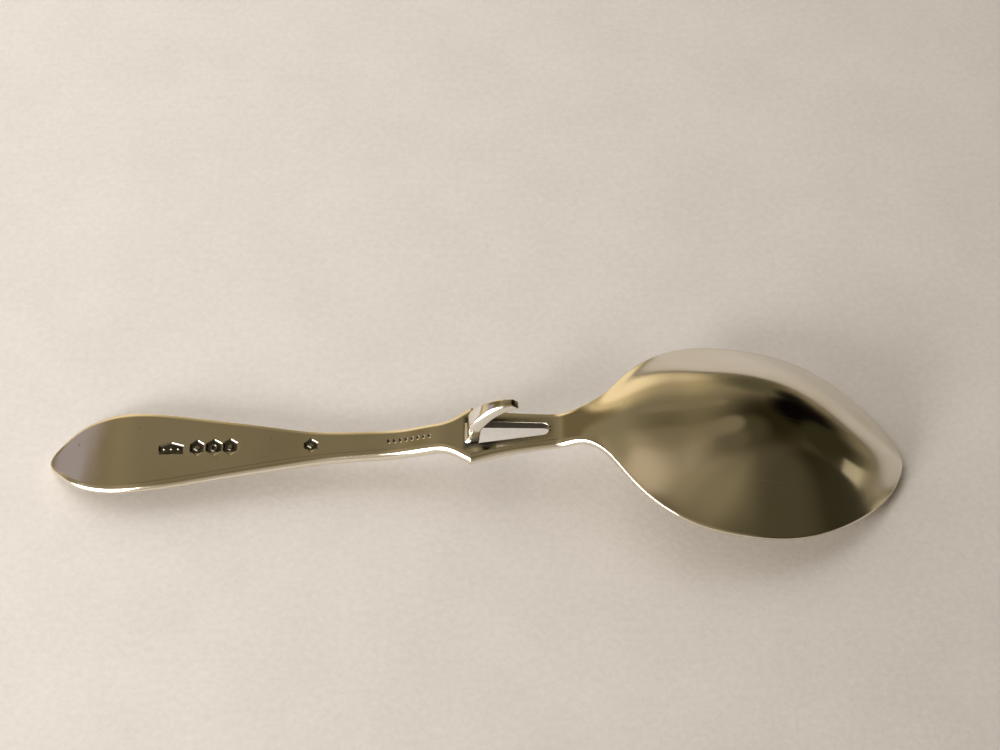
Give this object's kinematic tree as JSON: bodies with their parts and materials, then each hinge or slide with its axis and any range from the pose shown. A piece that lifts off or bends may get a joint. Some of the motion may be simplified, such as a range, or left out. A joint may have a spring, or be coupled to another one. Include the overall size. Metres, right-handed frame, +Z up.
{
  "type": "honey spoon",
  "caption": "Silver honey spoon with a pointed oval bowl, a spatulate handle, and a slotted stem whose raised tongue hooks over a jar's rim.",
  "frame": {"origin": "on the table under the middle of the spoon as it lies face down, halfway between its two tips", "axes": "+X along the spoon from the handle's tip to the bowl's tip, +Z up, out of the spoon's back, +Y to the left when looking along +X"},
  "size_m": [0.146, 0.0376, 0.02],
  "materials": {
    "handle_silver": "polished silver, softly worn, with light warm tarnish and fine scratches",
    "stem_silver": "polished silver with darker tarnish round the slot",
    "hook_silver": "bright polished silver, worn on its edges",
    "bowl_silver": "polished silver with fine scratches and a warm, uneven tarnish"
  },
  "bodies": {
    "root": {"handle": "handle_silver", "slotted_stem": "stem_silver", "jar_hook": "hook_silver", "bowl": "bowl_silver"}
  },
  "joints": []
}
